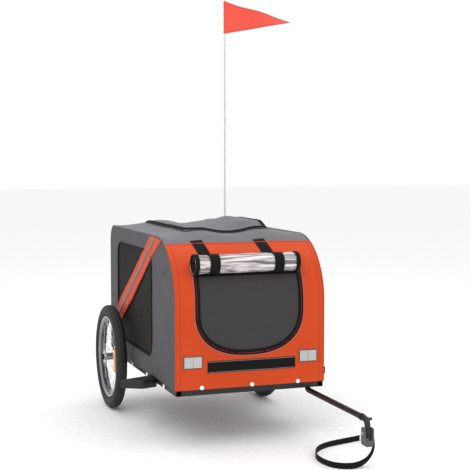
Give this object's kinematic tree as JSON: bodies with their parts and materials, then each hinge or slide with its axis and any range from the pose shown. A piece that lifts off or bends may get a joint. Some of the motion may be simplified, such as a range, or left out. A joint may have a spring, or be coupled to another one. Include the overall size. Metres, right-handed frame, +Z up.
{
  "type": "child bicycle trailer",
  "caption": "Low two-wheeled bicycle trailer with a fabric cabin, mesh windows, a side drawbar with a coupler and safety strap, and a tall flag.",
  "frame": {"origin": "bottom centre of the bounding box, on the ground", "axes": "+Z up along the flag pole, +X across towards the drawbar side, +Y from the coupler back to the rear door"},
  "size_m": [0.927, 1.401, 1.642],
  "materials": {
    "frame_black": "satin",
    "board": "matte",
    "mat": "matte",
    "orange_cloth": "matte",
    "roof_cloth": "satin",
    "grey_cloth": "matte",
    "front_mesh": "matte",
    "side_mesh": "matte",
    "clear_cover": "gloss",
    "webbing": "matte",
    "reflector_white": "gloss",
    "snap_white": "gloss",
    "tyre": "matte",
    "inner_rubber": "matte",
    "rim_alloy": "polished",
    "hub_alloy": "polished",
    "steel": "polished",
    "amber": "gloss",
    "guard_plastic": "matte",
    "drawbar_paint": "gloss",
    "coupler_plastic": "matte",
    "ring_nickel": "polished",
    "pole": "gloss",
    "flag_cloth": "matte"
  },
  "bodies": {
    "chassis": {"axle_left": "steel", "axle_receiver_left": "frame_black", "axle_receiver_right": "frame_black", "axle_right": "steel", "base_rail_front": "frame_black", "base_rail_left": "frame_black", "base_rail_rear": "frame_black", "base_rail_right": "frame_black", "drawbar_bracket": "frame_black", "flag_holders": "guard_plastic", "floor_board": "board", "floor_mat": "mat", "frame_crossbars": "frame_black", "frame_hoop_left": "frame_black", "frame_hoop_right": "frame_black", "front_panel": "orange_cloth", "hook_strip": "webbing", "panel_reflectors": "reflector_white", "rain_cover_roll": "clear_cover", "rear_panel": "grey_cloth", "roll_straps": "webbing", "roof_panel": "roof_cloth", "side_mesh_left": "side_mesh", "side_mesh_right": "side_mesh", "side_panel_left": "grey_cloth", "side_panel_right": "grey_cloth", "snap_buttons": "snap_white", "strap_band_left": "orange_cloth", "strap_band_right": "orange_cloth", "wheel_guard_left": "guard_plastic", "wheel_guard_right": "guard_plastic"},
    "wheel_right": {"tyre_right": "tyre", "inner_tube_right": "inner_rubber", "rim_right": "rim_alloy", "hub_right": "hub_alloy", "wheel_bearings_right": "steel", "spokes_right": "steel", "spoke_reflector_right": "amber"},
    "wheel_left": {"tyre_left": "tyre", "inner_tube_left": "inner_rubber", "rim_left": "rim_alloy", "hub_left": "hub_alloy", "wheel_bearings_left": "steel", "spokes_left": "steel", "spoke_reflector_left": "amber"},
    "button_right": {"quick_release_button_right": "steel"},
    "button_left": {"quick_release_button_left": "steel"},
    "front_door": {"front_door": "front_mesh"},
    "rear_door": {"rear_door": "orange_cloth"},
    "roof_hatch": {"roof_hatch": "roof_cloth"},
    "drawbar": {"drawbar_tube": "drawbar_paint", "drawbar_pivot_cap": "guard_plastic", "strap_clip": "guard_plastic", "safety_strap": "webbing", "strap_ring": "ring_nickel"},
    "coupler": {"coupler_block": "coupler_plastic", "coupler_pin": "steel"},
    "flag": {"flag_pole": "pole", "flag_pennant": "flag_cloth"}
  },
  "joints": [
    {"name": "wheel_right_spin", "type": "hinge", "parent": "chassis", "child": "wheel_right", "pos_m": [-0.3855, 0.4835, 0.2025], "axis": [1, 0, 0], "continuous": true},
    {"name": "wheel_left_spin", "type": "hinge", "parent": "chassis", "child": "wheel_left", "pos_m": [0.2485, 0.4835, 0.2025], "axis": [1, 0, 0], "continuous": true},
    {"name": "button_right_press", "type": "slide", "parent": "chassis", "child": "button_right", "axis": [1, 0, 0], "range_m": [0, 0.003], "stiffness_N_per_m": 200},
    {"name": "button_left_press", "type": "slide", "parent": "chassis", "child": "button_left", "axis": [-1, 0, 0], "range_m": [0, 0.003], "stiffness_N_per_m": 200},
    {"name": "front_door_open", "type": "hinge", "parent": "chassis", "child": "front_door", "pos_m": [-0.0685, -0.2292, 0.5957], "axis": [-1, 0, 0], "range_deg": [0, 55]},
    {"name": "rear_door_open", "type": "hinge", "parent": "chassis", "child": "rear_door", "pos_m": [-0.0685, 0.6768, 0.65], "axis": [1, 0, 0], "range_deg": [0, 100]},
    {"name": "roof_hatch_open", "type": "hinge", "parent": "chassis", "child": "roof_hatch", "pos_m": [-0.0685, 0.5425, 0.7113], "axis": [-1, 0, 0], "range_deg": [0, 120]},
    {"name": "drawbar_swing", "type": "hinge", "parent": "chassis", "child": "drawbar", "pos_m": [0.1595, -0.2075, 0.2], "axis": [0, 0, -1], "range_deg": [0, 180]},
    {"name": "coupler_tilt", "type": "hinge", "parent": "drawbar", "child": "coupler", "pos_m": [0.1595, -0.6875, 0.128], "axis": [1, 0, 0], "range_deg": [-30, 30]},
    {"name": "flag_lift", "type": "slide", "parent": "chassis", "child": "flag", "axis": [0, 0, 1], "range_m": [0, 0.15]}
  ]
}
